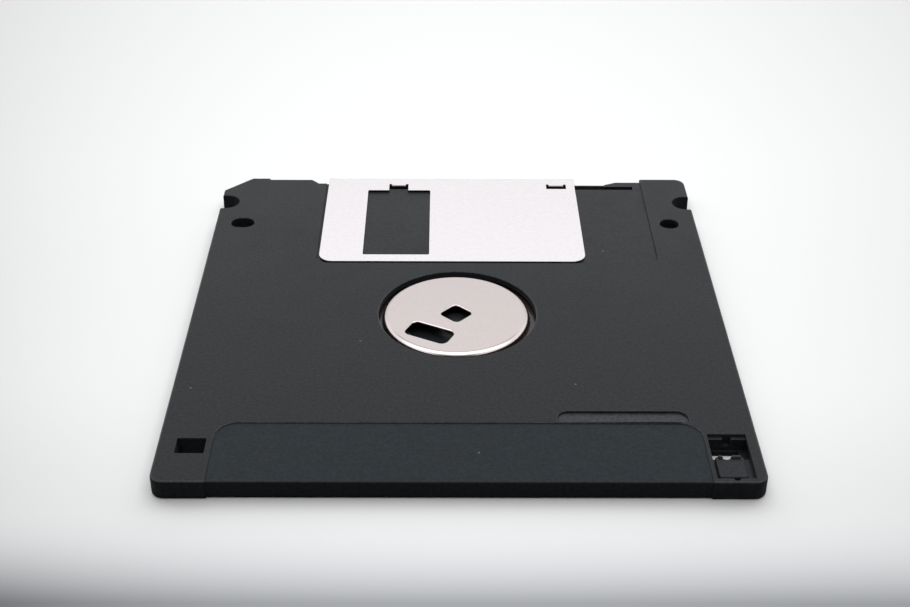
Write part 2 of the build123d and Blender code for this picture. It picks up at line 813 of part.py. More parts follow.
# Shutter spring: a loose coil with two legs, one against a post, one behind the shutter's tab
anchor_x = post_places[-1][0] - post_width / 2 - spring_anchor_gap - wire_radius
anchor_y = post_places[-1][1]
hook_x = spring_tab_right - tab_ear_width + spring_tab_gap + wire_radius
hook_y = tab_y + shutter_sheet / 2
coil_x = (anchor_x + hook_x) / 2
coil_y = (anchor_y + hook_y) / 2 - spring_drop
anchor_distance = math.hypot(anchor_x - coil_x, anchor_y - coil_y)
hook_distance = math.hypot(hook_x - coil_x, hook_y - coil_y)
angle_in = math.atan2(anchor_y - coil_y, anchor_x - coil_x) - math.acos(coil_radius / anchor_distance)
angle_out = math.atan2(hook_y - coil_y, hook_x - coil_x) + math.acos(coil_radius / hook_distance)
coil_turn = (angle_in - angle_out) / math.tau + 1 + coil_extra_turns
coil_z = floor_z + wire_radius + spring_floor_gap
coil_steps = round(coil_turn * coil_runs)
coil_points = []
for step in range(coil_steps + 1):
    angle = angle_in - math.tau * coil_turn * step / coil_steps
    coil_points.append(
        (
            coil_x + coil_radius * math.cos(angle),
            coil_y + coil_radius * math.sin(angle),
            coil_z + coil_pitch * coil_turn * step / coil_steps,
        )
    )
coil_end_z = coil_points[-1][2]
with BuildPart() as shutter_spring:
    with BuildLine() as wire_path:
        Polyline(
            (anchor_x, anchor_y, coil_z + spring_hook),
            (anchor_x, anchor_y, coil_z),
            *coil_points,
            (hook_x, hook_y, coil_end_z),
            (hook_x, hook_y, leaf_z - spring_leaf_gap),
        )
    with BuildSketch(Plane(origin=wire_path.wire() @ 0, z_dir=wire_path.wire() % 0)):
        RegularPolygon(wire_radius, wire_sides)
    sweep(path=wire_path.wire(), transition=Transition.RIGHT)
shutter_spring.part.label = "shutter_spring"
parts.append(shutter_spring.part)


# Write-protect slider: a base under the lips of the window, and a pad that a pen tip moves by the
# ridge and the round notch at its far end
slider_z = floor_z + slider_clearance
slider_top_z = ceiling_z - slider_clearance
pad_x = window_x - slider_pad_offset
pad_near_y = slider_near_y + slider_pad_margin
with BuildPart() as write_protect_slider:
    with BuildSketch(Plane.XY.offset(slider_z)):
        with Locations((window_x, (slider_near_y + slider_far_y) / 2)):
            Rectangle(channel_width - 2 * slider_clearance, slider_length)
    extrude(amount=slider_top_z - slider_z)
    with BuildSketch(Plane.XY.offset(slider_top_z)) as pad_plan:
        with Locations((pad_x, (pad_near_y + slider_far_y) / 2)):
            Rectangle(slider_pad_width, slider_far_y - pad_near_y)
        fillet(pad_plan.vertices(), slider_pad_radius)
    extrude(amount=case_height - slider_pad_sink - slider_top_z)
    chamfer(write_protect_slider.edges().group_by(Axis.Z)[-1], slider_edge)
    with BuildSketch(Plane.XY.offset(slider_top_z)):
        with Locations((pad_x, slider_far_y - slider_ridge_width / 2)):
            Rectangle(slider_pad_width - 2 * slider_pad_radius, slider_ridge_width)
    extrude(amount=case_height - slider_ridge_sink - slider_top_z)
    with BuildSketch(Plane.XY.offset(slider_z)):
        with Locations((pad_x - slider_notch_offset, slider_far_y)):
            Circle(slider_notch_radius)
    extrude(amount=case_height, mode=Mode.SUBTRACT)
write_protect_slider.part.label = "write_protect_slider"
parts.append(write_protect_slider.part)

os.makedirs("parts", exist_ok=True)
for piece in parts:
    export_step(piece, f"parts/{piece.label}.step")
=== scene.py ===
"""Looks of a flexible disk cartridge of the 90 mm size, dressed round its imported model.

Metres, in the frame of the model: X across the case, Y towards the shutter, Z up. The case lies on
its label side. Sizes are given in millimetres and turned to metres by MM.
"""

import logging
import math
from dataclasses import dataclass
from enum import Enum
from itertools import pairwise
from typing import Any

import bmesh
import bpy
from mathutils import Matrix, Vector


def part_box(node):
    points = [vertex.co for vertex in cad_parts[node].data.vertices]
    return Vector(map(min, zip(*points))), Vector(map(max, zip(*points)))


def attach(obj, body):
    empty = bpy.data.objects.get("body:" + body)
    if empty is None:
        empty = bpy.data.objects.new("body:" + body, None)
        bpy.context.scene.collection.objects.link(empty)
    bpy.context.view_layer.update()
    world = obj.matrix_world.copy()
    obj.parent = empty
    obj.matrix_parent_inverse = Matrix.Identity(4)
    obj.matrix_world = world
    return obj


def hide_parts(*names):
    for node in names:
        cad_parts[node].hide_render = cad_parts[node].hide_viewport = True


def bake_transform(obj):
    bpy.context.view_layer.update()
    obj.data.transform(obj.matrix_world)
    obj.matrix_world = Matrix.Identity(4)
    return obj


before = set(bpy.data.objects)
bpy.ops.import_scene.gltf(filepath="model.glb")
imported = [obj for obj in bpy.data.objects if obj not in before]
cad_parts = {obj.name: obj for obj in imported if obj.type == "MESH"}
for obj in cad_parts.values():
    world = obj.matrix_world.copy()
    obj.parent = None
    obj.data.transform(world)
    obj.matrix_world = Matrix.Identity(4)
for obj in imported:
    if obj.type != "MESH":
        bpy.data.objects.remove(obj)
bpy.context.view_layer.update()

MM = 0.001
MERGE = 1e-6

MATH = "ShaderNodeMath"
VECTOR_MATH = "ShaderNodeVectorMath"
RANGE = "ShaderNodeMapRange"
MIX = "ShaderNodeMix"
MAPPING = "ShaderNodeMapping"
COORDINATES = "ShaderNodeTexCoord"
AXES = "ShaderNodeSeparateXYZ"
NOISE = "ShaderNodeTexNoise"
WAVE = "ShaderNodeTexWave"

# Settings that come back in several tables of nodes
TIMES = {"operation": "MULTIPLY"}
LARGER = {"operation": "MAXIMUM"}
BELOW = {"operation": "LESS_THAN"}
UNSIGNED = {"operation": "ABSOLUTE"}
TIMES_PLUS = {"operation": "MULTIPLY_ADD"}
SOFTLY = {"interpolation_type": "SMOOTHSTEP"}
COLOURS = {"data_type": "RGBA"}
EVEN = {"Roughness": 0.6, "Detail": 3.0}
ON_PIECE = {"Vector": "place.Object"}

# A noise lies mostly between these values, and a wave turns by this many radians for each unit
NOISE_REACH = (0.3, 0.7)
WAVE_TURN = 20

# Name, type, settings and links of a node. A link gives the output that feeds an input, as "name.output".
NodeRow = tuple[str, str, dict[str | int, Any], dict[str | int, str]]

log = logging.getLogger("disk_cartridge")


class Body(Enum):
    """The moving groups of the cartridge."""

    CASE = "case"
    DISK = "disk"
    SHUTTER = "shutter"
    SLIDER = "slider"


class Slot(Enum):
    """The finishes that the record names."""

    CASE_PLASTIC = "case_plastic"
    SLIDER_PLASTIC = "slider_plastic"
    LINER_FABRIC = "liner_fabric"
    LEAF_FILM = "leaf_film"
    SPRING_WIRE = "spring_wire"
    MAGNETIC_FILM = "magnetic_film"
    HUB_STEEL = "hub_steel"
    ADHESIVE = "adhesive"
    SHUTTER_METAL = "shutter_metal"


def linear(hex_code: str) -> tuple[float, float, float, float]:
    """Turn an sRGB hex value into linear colour.

    Args:
        hex_code: Six hex digits after a hash sign.

    Returns:
        Red, green, blue and alpha, linear.
    """
    parts = [int(hex_code[i : i + 2], 16) / 255 for i in (1, 3, 5)]
    red, green, blue = (c / 12.92 if c <= 0.04045 else ((c + 0.055) / 1.055) ** 2.4 for c in parts)
    return red, green, blue, 1.0


def add_node(
    tree: bpy.types.NodeTree,
    kind: str,
    settings: dict[str | int, Any],
    links: dict[str | int, bpy.types.NodeSocket],
) -> bpy.types.Node:
    """Add a node with its settings and links.

    Args:
        tree: The node tree that takes the node.
        kind: The node's type, such as ShaderNodeMath.
        settings: Values by name. Names in lower case are the node's properties. Names with a
            capital, and numbers, are its input sockets.
        links: Output sockets of other nodes, by the input that they feed.

    Returns:
        The new node.
    """
    node = tree.nodes.new(kind)
    for key, value in settings.items():
        if isinstance(key, str) and key[0].islower():
            setattr(node, key, value)
        else:
            node.inputs[key].default_value = value
    for key, socket in links.items():
        tree.links.new(socket, node.inputs[key])
    return node


def feed(tree: bpy.types.NodeTree, shader: bpy.types.Node, rows: list[NodeRow]) -> None:
    """Add a table of nodes, and let those that are named after a shader's inputs feed them.

    Args:
        tree: The node tree that takes the nodes.
        shader: The shader.
        rows: The nodes, each after those that feed it. A later one takes the place of an earlier
            one of the same name.
    """
    nodes: dict[str, bpy.types.Node] = {}
    for name, kind, settings, sources in rows:
        links = {}
        for key, source in sources.items():
            before, output = source.split(".")
            links[key] = nodes[before].outputs[output]
        nodes[name] = add_node(tree, kind, settings, links)
    for name, node in nodes.items():
        if name in shader.inputs:
            result = next(socket for socket in node.outputs if socket.enabled)
            tree.links.new(result, shader.inputs[name])


def graded(reach: tuple[float, float], values: tuple[float, float] = (0.0, 1.0)) -> dict[str, float]:
    """Settings that lead from one value to another while the input crosses its reach."""
    return {"From Min": reach[0], "From Max": reach[1], "To Min": values[0], "To Max": values[1]}


def within(centre_mm: float, reach_mm: float) -> dict[str | int, Any]:
    """Settings that say with 1 or 0 whether the input lies within reach of a centre."""
    return {"operation": "COMPARE", 1: centre_mm * MM, 2: reach_mm * MM}


def per_mm(size_mm: float) -> float:
    """Scale of a noise or wave pattern whose features are size_mm wide."""
    return 1 / (size_mm * MM)


def bands_per_mm(size_mm: float) -> float:
    """Scale of a wave pattern that repeats every size_mm."""
    return per_mm(size_mm) * math.tau / WAVE_TURN


@dataclass(frozen=True)
class Finish:
    """A finish: its plain name, colour and gloss, and the pattern that its making leaves."""

    name: str
    colour: str
    roughness: float
    metallic: float = 0.0
    ior: float = 1.5
    specular: float = 0.5
    haze_mm: float = 4.0
    haze: float = 0.04
    sheen: float = 0.0

    def material(self) -> bpy.types.Material:
        """Make the material, once.

        Returns:
            The material with its shader and pattern nodes.
        """
        known = bpy.data.materials.get(self.name)
        if known is not None:
            return known
        made = bpy.data.materials.new(self.name)
        made.use_nodes = True
        shader = made.node_tree.nodes["Principled BSDF"]
        shader.inputs["Base Color"].default_value = linear(self.colour)
        shader.inputs["Roughness"].default_value = self.roughness
        shader.inputs["Metallic"].default_value = self.metallic
        shader.inputs["IOR"].default_value = self.ior
        shader.inputs["Specular IOR Level"].default_value = self.specular
        shader.inputs["Sheen Weight"].default_value = self.sheen
        feed(made.node_tree, shader, [("place", COORDINATES, {}, {}), *self.pattern()])
        return made

    def pattern(self) -> list[NodeRow]:
        """Table of the pattern's nodes: here a haze in the gloss, which any handled surface has."""
        return [
            ("haze", NOISE, {**EVEN, "Scale": per_mm(self.haze_mm)}, ON_PIECE),
            ("Roughness", RANGE, self.unevenness(), {"Value": "haze.Fac"}),
        ]

    def unevenness(self) -> dict[str, float]:
        """Settings that let a noise raise and lower the roughness."""
        return graded(NOISE_REACH, (self.roughness - self.haze, self.roughness + self.haze))

    def relief(self, rows: list[NodeRow], height: str, depth_mm: float) -> None:
        """Add a relief to a table as bump, on top of any that is there already.

        Args:
            rows: The table.
            height: The output that gives the height.
            depth_mm: How far the highest point stands over the lowest.
        """
        links: dict[str | int, str] = {"Height": height}
        if any(name == "Normal" for name, *_ in rows):
            links["Normal"] = "Normal.Normal"
        rows.append(("Normal", "ShaderNodeBump", {"Strength": 1.0, "Distance": depth_mm * MM}, links))

    def dress(self, piece: bpy.types.Object) -> None:
        """Give the finish to every slot of a piece.

        Args:
            piece: The piece, with or without slots.
        """
        made = self.material()
        if not piece.material_slots:
            piece.data.materials.append(made)
        for slot in piece.material_slots:
            slot.material = made


@dataclass(frozen=True)
class SparkErodedPlastic(Finish):
    """Black plastic moulded against a spark-eroded tool: a dull face with a fine, even grain.

    The floors of the label recesses come off a finer part of the tool and look bluer and darker. The
    floor of the mark's pocket was polished: it is glossier, and a painted reflection makes its colour paler.
    Sink marks show over thick spots.
    """

    grain_mm: float = 0.32
    grain_depth_mm: float = 0.02
    speckle_mm: float = 0.55
    speckle: float = 0.35
    dust_apart_mm: float = 31.0
    dust_mm: float = 0.16
    dust_colour: str = "#8f8f8d"
    dust_cover: float = 0.4
    mottle_mm: float = 7.0
    label_colour: str = "#151c20"
    label_roughness: float = 0.42
    pocket_reflection_colour: str = "#35363a"
    pocket_roughness: float = 0.3
    middle_z_mm: float = 1.65
    label_rise_mm: float = 1.45
    label_far_y_mm: float = 10.0
    pocket_rise_mm: float = 1.2
    pocket_y_mm: float = -31.1
    pocket_reach_mm: float = 1.6
    band_mm: float = 0.03
    painted_light_colour: str = "#3b3d40"
    painted_light_rise_mm: float = 1.56
    painted_light_reach_mm: float = 0.13
    painted_light_tilt: tuple[float, float] = (1.0, 0.85)
    sink_marks_mm: tuple[tuple[float, float, float], ...] = (
        (-30.3, -43.4, 1.7),
        (30.6, -44.4, 1.6),
        (41.0, 23.0, 2.2),
        (15.5, -33.5, 0.9),
    )
    sink_z_mm: float = 3.2
    sink_depth_mm: float = 0.012

    def pattern(self) -> list[NodeRow]:
        """Table of the nodes of recess floors, a painted reflection in the mark's pocket, painted light on
        steep edges, speckle, dust, sink marks and grain.

        Returns:
            The table, in the order in which the nodes are added.
        """
        recess = {**COLOURS, "A": linear(self.colour), "B": linear(self.label_colour)}
        pocket = {**COLOURS, "B": linear(self.pocket_reflection_colour)}
        rubbed = {**COLOURS, "B": linear(self.painted_light_colour)}
        dusty = {**COLOURS, "B": linear(self.dust_colour)}
        speckle = graded(NOISE_REACH, (1 - self.speckle, 1 + self.speckle))
        cells = {"voronoi_dimensions": "2D", "Scale": per_mm(self.dust_apart_mm), "Randomness": 1.0}
        matt = {"To Min": self.roughness, "To Max": self.label_roughness}
        polished = {"To Min": 0.0, "To Max": self.pocket_roughness - self.roughness}
        rows: list[NodeRow] = [
            ("axes", AXES, {}, ON_PIECE),
            ("off_middle", MATH, {"operation": "SUBTRACT", 1: self.middle_z_mm * MM}, {0: "axes.Z"}),
            ("rise", MATH, UNSIGNED, {0: "off_middle.Value"}),
            ("at_label", MATH, within(self.label_rise_mm, self.band_mm), {0: "rise.Value"}),
            ("before", MATH, {**BELOW, 1: self.label_far_y_mm * MM}, {0: "axes.Y"}),
            ("label", MATH, TIMES, {0: "at_label.Value", 1: "before.Value"}),
            ("at_pocket", MATH, within(self.pocket_rise_mm, self.band_mm), {0: "rise.Value"}),
            ("along", MATH, within(self.pocket_y_mm, self.pocket_reach_mm), {0: "axes.Y"}),
            ("pocket", MATH, TIMES, {0: "at_pocket.Value", 1: "along.Value"}),
            ("recessed", MIX, recess, {"Factor": "label.Value"}),
            # The mark's pocket takes a paler colour: a painted reflection, on top of its lower roughness
            ("tint", MIX, pocket, {"Factor": "pocket.Value", "A": "recessed.Result"}),
            # A painted light makes steep faces near the top and bottom faces a little paler: the walls of the
            # shallow recesses and the rounded edges
            ("facing", AXES, {}, {"Vector": "place.Normal"}),
            ("upright", MATH, UNSIGNED, {0: "facing.Z"}),
            ("tilted", RANGE, {**SOFTLY, **graded(self.painted_light_tilt)}, {"Value": "upright.Value"}),
            ("at_edge", MATH, within(self.painted_light_rise_mm, self.painted_light_reach_mm), {0: "rise.Value"}),
            ("rubbed", MATH, TIMES, {0: "tilted.Result", 1: "at_edge.Value"}),
            ("worn", MIX, rubbed, {"Factor": "rubbed.Value", "A": "tint.Result"}),
            # The grain's peaks and pits, as a speckle in the tone
            ("peaks", NOISE, {**EVEN, "Scale": per_mm(self.speckle_mm), "Detail": 2.0}, ON_PIECE),
            ("tone", RANGE, speckle, {"Value": "peaks.Fac"}),
            ("grained", VECTOR_MATH, {"operation": "SCALE"}, {0: "worn.Result", "Scale": "tone.Result"}),
            # A few specks of dust, one to each cell
            ("cells", "ShaderNodeTexVoronoi", cells, ON_PIECE),
            ("speck", MATH, {**BELOW, 1: self.dust_mm / self.dust_apart_mm}, {0: "cells.Distance"}),
            ("dust", MATH, {**TIMES, 1: self.dust_cover}, {0: "speck.Value"}),
            ("Base Color", MIX, dusty, {"Factor": "dust.Value", "A": "grained.Vector"}),
            ("matt", RANGE, matt, {"Value": "label.Value"}),
            ("polished", RANGE, polished, {"Value": "pocket.Value"}),
            ("middle", MATH, {"operation": "ADD"}, {0: "matt.Result", 1: "polished.Result"}),
            ("mottle", NOISE, {**EVEN, "Scale": per_mm(self.mottle_mm), "Detail": 4.0}, ON_PIECE),
            ("uneven", RANGE, graded(NOISE_REACH, (-self.haze, self.haze)), {"Value": "mottle.Fac"}),
            ("Roughness", MATH, {"operation": "ADD"}, {0: "uneven.Result", 1: "middle.Value"}),
        ]
        for x_mm, y_mm, reach_mm in self.sink_marks_mm:
            point = (x_mm * MM, y_mm * MM, self.sink_z_mm * MM)
            rows += [
                ("away", VECTOR_MATH, {"operation": "DISTANCE", 1: point}, {0: "place.Object"}),
                ("dip", RANGE, {**SOFTLY, **graded((0.0, reach_mm * MM))}, {"Value": "away.Value"}),
            ]
            self.relief(rows, "dip.Result", self.sink_depth_mm)
        rows.append(("grain", NOISE, {**EVEN, "Scale": per_mm(self.grain_mm), "Detail": 2.0}, ON_PIECE))
        self.relief(rows, "grain.Fac", self.grain_depth_mm)
        return rows


@dataclass(frozen=True)
class BrushedMetal(Finish):
    """Sheet or wire with the fine lines that brushing, rolling or drawing leaves along X.

    The lines are drawn coarser than the real ones, which are too fine to show at this distance.
    """

    line_mm: float = 0.12
    line_length_mm: float = 6.0
    line_depth_mm: float = 0.0012
    speckle_mm: float = 0.35
    speckle_reach: tuple[float, float] = (0.35, 0.65)
    darkest: float = 0.95

    def pattern(self) -> list[NodeRow]:
        """Table of the nodes of long fine lines in bump and gloss, and of a fine speckle in colour.

        Returns:
            The table, in the order in which the nodes are added.
        """
        stretch = (per_mm(self.line_length_mm), per_mm(self.line_mm), per_mm(self.line_mm))
        tint = {"operation": "SCALE", 0: linear(self.colour)[:3]}
        rows: list[NodeRow] = [
            ("along", MAPPING, {"Scale": stretch}, ON_PIECE),
            ("lines", NOISE, {**EVEN, "Scale": 1.0}, {"Vector": "along.Vector"}),
            ("speckle", NOISE, {**EVEN, "Scale": per_mm(self.speckle_mm), "Detail": 2.0}, ON_PIECE),
            ("tone", RANGE, graded(self.speckle_reach, (self.darkest, 1.0)), {"Value": "speckle.Fac"}),
            ("Base Color", VECTOR_MATH, tint, {"Scale": "tone.Result"}),
            ("Roughness", RANGE, self.unevenness(), {"Value": "lines.Fac"}),
        ]
        self.relief(rows, "lines.Fac", self.line_depth_mm)
        return rows


@dataclass(frozen=True)
class LancedStrip(BrushedMetal):
    """Brushed strip whose lanced tabs carry painted shade on their bends and upright faces."""

    tab_shade_colour: str = "#77716f"
    tab_shade_y_mm: float = 42.5
    tab_shade_reach_mm: float = 2.5
    flat_tilt: float = 0.99

    def pattern(self) -> list[NodeRow]:
        """Table of the brushing's nodes, and of painted shade on the bends and upright faces of the tabs.

        Returns:
            The table, in the order in which the nodes are added.
        """
        painted_shade = {**COLOURS, "B": linear(self.tab_shade_colour)}
        return [
            *super().pattern(),
            ("axes", AXES, {}, ON_PIECE),
            ("at_tabs", MATH, within(self.tab_shade_y_mm, self.tab_shade_reach_mm), {0: "axes.Y"}),
            ("facing", AXES, {}, {"Vector": "place.Normal"}),
            ("upright", MATH, UNSIGNED, {0: "facing.Z"}),
            ("tilted", MATH, {**BELOW, 1: self.flat_tilt}, {0: "upright.Value"}),
            # Painted shade on the bends and upright faces of the tabs
            ("bent", MATH, TIMES, {0: "at_tabs.Value", 1: "tilted.Value"}),
            ("Base Color", MIX, painted_shade, {"Factor": "bent.Value", "A": "Base Color.Vector"}),
        ]


@dataclass(frozen=True)
class CoatedFilm(Finish):
    """Polyester film with an oxide coat: dark brown, glossy, with faint tracks round the hub."""

    track_mm: float = 0.5
    track_wobble: float = 0.4
    centre_mm: tuple[float, float] = (-0.2, -1.8)

    def pattern(self) -> list[NodeRow]:
        """Table of the nodes of rings in the gloss, where the liners wipe the film.

        Returns:
            The table, in the order in which the nodes are added.
        """
        x, y = (place * MM for place in self.centre_mm)
        rings = {"wave_type": "RINGS", "rings_direction": "Z", "Distortion": self.track_wobble}
        return [
            ("centred", MAPPING, {"Location": (-x, -y, 0.0)}, ON_PIECE),
            ("rings", WAVE, {**rings, "Scale": bands_per_mm(self.track_mm)}, {"Vector": "centred.Vector"}),
            ("Roughness", RANGE, self.unevenness(), {"Value": "rings.Fac"}),
        ]


@dataclass(frozen=True)
class PointBondedFleece(Finish):
    """Non-woven rayon: loose fibres, pressed flat where the web was bonded in small diamonds."""

    sheen: float = 0.3
    fibre_mm: float = 0.1
    fibre_length_mm: float = 2.5
    fibre_depth_mm: float = 0.03
    fibre_turns: tuple[float, float] = (35, -50)
    fibre_wobble: float = 0.6
    bond_mm: float = 1.1
    bond_depth_mm: float = 0.05
    shade: str = "#b9b8b1"

    def pattern(self) -> list[NodeRow]:
        """Table of the nodes of two crossing layers of fibres, and of the bonded diamonds.

        Returns:
            The table, in the order in which the nodes are added.
        """
        long, across = per_mm(self.fibre_length_mm), per_mm(self.fibre_mm)
        fibres = {"Scale": 1.0, "Detail": 2.0, "Distortion": self.fibre_wobble}
        bands = {"Scale": bands_per_mm(self.bond_mm), "bands_direction": "X"}
        tint = {**COLOURS, "A": linear(self.shade), "B": linear(self.colour)}
        rows: list[NodeRow] = []
        for layer, turn in enumerate(self.fibre_turns):
            turned_place = {"Rotation": (0.0, 0.0, math.radians(turn))}
            rows += [
                ("fibre_place", MAPPING, {**turned_place, "Scale": (long, across, across)}, ON_PIECE),
                (f"fibres_{layer}", NOISE, fibres, {"Vector": "fibre_place.Vector"}),
                ("band_place", MAPPING, turned_place, ON_PIECE),
                (f"bands_{layer}", WAVE, bands, {"Vector": "band_place.Vector"}),
            ]
        rows += [
            ("web", MATH, LARGER, {0: "fibres_0.Fac", 1: "fibres_1.Fac"}),
            ("bonds", MATH, LARGER, {0: "bands_0.Fac", 1: "bands_1.Fac"}),
            ("Base Color", MIX, tint, {"Factor": "web.Value"}),
        ]
        self.relief(rows, "bonds.Value", self.bond_depth_mm)
        self.relief(rows, "web.Value", self.fibre_depth_mm)
        return rows


CASE_PLASTIC = SparkErodedPlastic("moulded_abs_spark_eroded", "#1e2022", 0.35, specular=0.16, haze=0.07)
SLIDER_PLASTIC = SparkErodedPlastic(
    "moulded_acetal_fine", "#1b1d20", 0.38, specular=0.18, grain_depth_mm=0.003, sink_marks_mm=()
)
SHUTTER_METAL = LancedStrip(
    "brushed_stainless_strip", "#f6f2f3", 0.24, metallic=1.0, haze=0.07, line_depth_mm=0.002
)
HUB_STEEL = BrushedMetal("rolled_stainless_sheet", "#d3cac7", 0.2, metallic=1.0, line_depth_mm=0.0006)
SPRING_WIRE = BrushedMetal("drawn_spring_wire", "#b9b6b2", 0.25, metallic=1.0)
MAGNETIC_FILM = CoatedFilm("oxide_coated_polyester_film", "#1d1613", 0.18)
LINER_FABRIC = PointBondedFleece("point_bonded_rayon_fleece", "#e6e5df", 0.92)
LEAF_FILM = Finish("milky_polyester_leaf", "#c9c8c1", 0.32)
ADHESIVE = Finish("acrylic_transfer_adhesive", "#b9ab86", 0.42, haze=0.1, haze_mm=1.5)


def choose(piece: bpy.types.Object) -> None:
    """Select one piece, alone, and make it the active one.

    Args:
        piece: The piece.
    """
    bpy.ops.object.select_all(action="DESELECT")
    piece.select_set(True)
    bpy.context.view_layer.objects.active = piece


def apply_modifier(piece: bpy.types.Object, kind: str, **settings: Any) -> None:
    """Add a modifier to a piece and apply it.

    Args:
        piece: The piece to change.
        kind: The modifier's type, such as SOLIDIFY.
        settings: Its properties.
    """
    choose(piece)
    modifier = piece.modifiers.new(kind.lower(), kind)
    for key, value in settings.items():
        setattr(modifier, key, value)
    bpy.ops.object.modifier_apply(modifier=modifier.name)


def turned(
    name: str, section: list[tuple[float, float]], centre: tuple[float, float], steps: int
) -> bpy.types.Object:
    """Turn an open section about an upright axis, as on a lathe.

    Args:
        name: The piece's name.
        section: Radius and height of each point, in metres, from the inside out.
        centre: X and Y of the axis.
        steps: How many parts the turn is made of.

    Returns:
        The open skin, with its normals outwards.
    """
    bpy.ops.object.select_all(action="DESELECT")
    start_radius, start_z = section[0]
    bpy.ops.mesh.primitive_plane_add(size=MM, location=(centre[0] + start_radius, centre[1], start_z))
    piece = bpy.context.object
    piece.name = piece.data.name = name
    bpy.ops.object.transform_apply(location=True, rotation=True, scale=True)
    bpy.ops.object.mode_set(mode="EDIT")
    bpy.ops.mesh.select_mode(type="VERT")
    bpy.ops.mesh.merge(type="CENTER")
    for (radius, z), (next_radius, next_z) in pairwise(section):
        step = (next_radius - radius, 0.0, next_z - z)
        bpy.ops.mesh.extrude_region_move(TRANSFORM_OT_translate={"value": step})
    bpy.ops.mesh.select_all(action="SELECT")
    bpy.ops.mesh.spin(steps=steps, angle=math.tau, center=(*centre, 0.0), axis=(0.0, 0.0, 1.0))
    bpy.ops.mesh.select_all(action="SELECT")
    bpy.ops.mesh.remove_doubles(threshold=MERGE)
    bpy.ops.mesh.normals_make_consistent(inside=False)
    bpy.ops.object.mode_set(mode="OBJECT")
    return piece


def cut_out(piece: bpy.types.Object, cutter: bpy.types.Object) -> None:
    """Cut a form out of a piece, and throw the form away."""
    apply_modifier(piece, "BOOLEAN", operation="DIFFERENCE", solver="EXACT", object=cutter)
    bpy.data.objects.remove(cutter)


def smooth(piece: bpy.types.Object, degrees: float = 30.0) -> None:
    """Shade a piece smooth, but for edges that are sharper than an angle."""
    choose(piece)
    bpy.ops.object.shade_smooth_by_angle(angle=math.radians(degrees))


def arc(
    centre: tuple[float, float], radius: float, start: float, end: float, count: int
) -> list[tuple[float, float]]:
    """Place points along an arc in a section.

    Args:
        centre: The middle of its circle.
        radius: The circle's radius.
        start: Where it starts, in degrees.
        end: Where it ends.
        count: How many parts it has.

    Returns:
        The points, with both ends.
    """
    points = []
    for step in range(count + 1):
        angle = math.radians(start + (end - start) * step / count)
        points.append((centre[0] + radius * math.cos(angle), centre[1] + radius * math.sin(angle)))
    return points


@dataclass
class MouldedOrPressedPiece:
    """A rigid piece of the model, its loose facets merged and its edges broken, as worked ones are."""

    node: str
    body: Body
    slot: Slot
    finish: Finish
    edge_mm: float
    edge_segments: int = 2
    flat_degrees: float = 0.3
    sharp_degrees: float = 35.0

    def build(self) -> bpy.types.Object:
        """Copy the node, merge it and break its edges.

        Returns:
            The piece that stands for the node.
        """
        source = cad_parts[self.node]
        piece = bpy.data.objects.new(f"{self.node}_finished", source.data.copy())
        bpy.context.scene.collection.objects.link(piece)
        choose(piece)
        if piece.data.has_custom_normals:
            bpy.ops.mesh.customdata_custom_splitnormals_clear()
        bpy.ops.object.mode_set(mode="EDIT")
        bpy.ops.mesh.select_all(action="SELECT")
        bpy.ops.mesh.remove_doubles(threshold=MERGE)
        bpy.ops.mesh.dissolve_limited(angle_limit=math.radians(self.flat_degrees))
        bpy.ops.object.mode_set(mode="OBJECT")
        self.roll_edges(piece)
        if self.edge_mm > 0:
            apply_modifier(
                piece,
                "BEVEL",
                width=self.edge_mm * MM,
                segments=self.edge_segments,
                limit_method="ANGLE",
                angle_limit=math.radians(self.sharp_degrees),
            )
        smooth(piece, self.sharp_degrees)
        apply_modifier(piece, "WEIGHTED_NORMAL", mode="FACE_AREA", weight=100, keep_sharp=True)
        self.finish.dress(piece)
        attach(piece, self.body.value)
        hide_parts(self.node)
        return piece

    def roll_edges(self, piece: bpy.types.Object) -> None:
        """Round the edges that the real piece rounds more than the rest. A plain piece has none."""


@dataclass
class MouldedShell(MouldedOrPressedPiece):
    """Half of the case: the rims of its shallow recesses are rounded in the tool."""

    rim_mm: float = 0.17
    rim_deepest_mm: float = 0.5
    rim_far_y_mm: float = -25.0
    rim_segments: int = 5
    wall_tilt: float = 0.1
    flat_tilt: float = 0.99

    def roll_edges(self, piece: bpy.types.Object) -> None:
        """Round the rims of the label's and the mark's recess, where a flat face meets a wall.

        Args:
            piece: The merged shell.
        """
        choose(piece)
        bpy.ops.object.mode_set(mode="EDIT")
        bpy.ops.mesh.select_mode(type="EDGE")
        bpy.ops.mesh.select_all(action="DESELECT")
        mesh = bmesh.from_edit_mesh(piece.data)
        for edge in mesh.edges:
            walls = [face for face in edge.link_faces if abs(face.normal.z) < self.wall_tilt]
            flats = [face for face in edge.link_faces if abs(face.normal.z) > self.flat_tilt]
            if len(walls) == len(flats) == 1 and edge.is_convex:
                edge.select_set(self.is_rim(edge, walls[0]))
        bmesh.update_edit_mesh(piece.data)
        bpy.ops.mesh.bevel(offset=self.rim_mm * MM, segments=self.rim_segments, affect="EDGES")
        bpy.ops.object.mode_set(mode="OBJECT")

    def is_rim(self, edge: bmesh.types.BMEdge, wall: bmesh.types.BMFace) -> bool:
        """Tell whether an edge is the rim of a shallow recess in the near half of the face.

        Args:
            edge: The edge.
            wall: The upright face that it bounds.

        Returns:
            Whether it is such a rim.
        """
        heights = [vertex.co.z for vertex in wall.verts]
        near = max(vertex.co.y for vertex in edge.verts) < self.rim_far_y_mm * MM
        return near and max(heights) - min(heights) < self.rim_deepest_mm * MM


